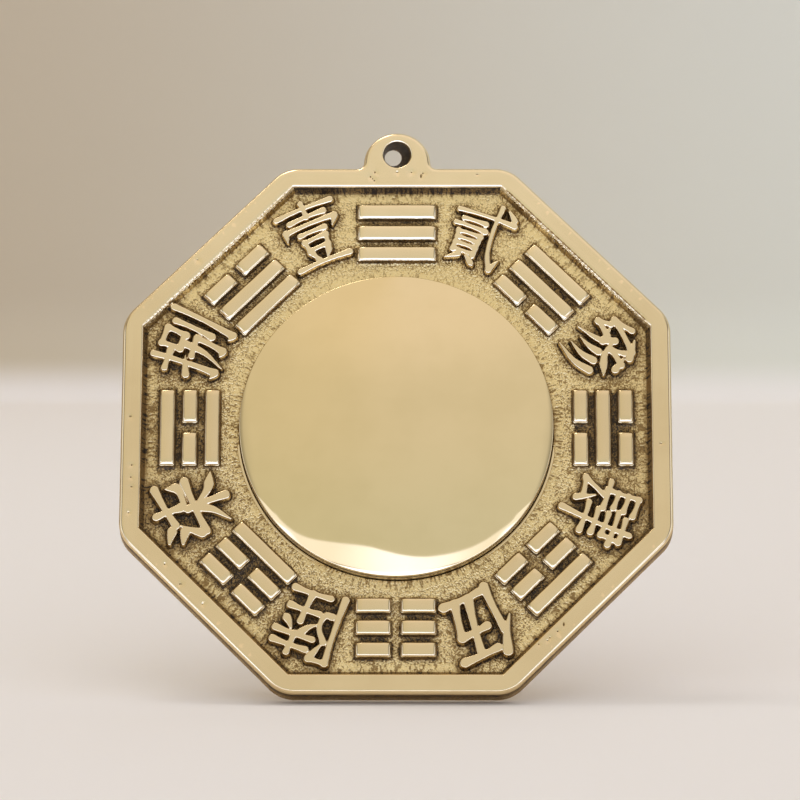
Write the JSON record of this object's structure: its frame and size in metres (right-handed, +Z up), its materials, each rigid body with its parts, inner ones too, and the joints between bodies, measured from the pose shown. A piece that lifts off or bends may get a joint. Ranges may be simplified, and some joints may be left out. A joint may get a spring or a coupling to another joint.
{
  "type": "bagua mirror",
  "caption": "Octagonal cast brass bagua wall mirror: domed polished mirror disc seated in a sunk grainy field of raised trigram bars, with a polished rim and a drilled hanging lug.",
  "frame": {"origin": "centre of the octagon on the plaque's flat back face", "axes": "+Z up the plaque towards the hanging lug, -Y out of the polished front, +Y into the wall behind it, +X to the right as seen from the front"},
  "size_m": [0.1, 0.0104, 0.107],
  "materials": {
    "cast_brass": "sand-cast brass, polished on its raised tops and dark with patina in its hollows",
    "polished_brass": "turned and mirror-polished brass",
    "resin_bond": "cured resin adhesive, hidden under the disc"
  },
  "bodies": {
    "root": {"cast_plaque": "cast_brass", "mirror_disc": "polished_brass", "mirror_bond": "resin_bond"}
  },
  "joints": []
}
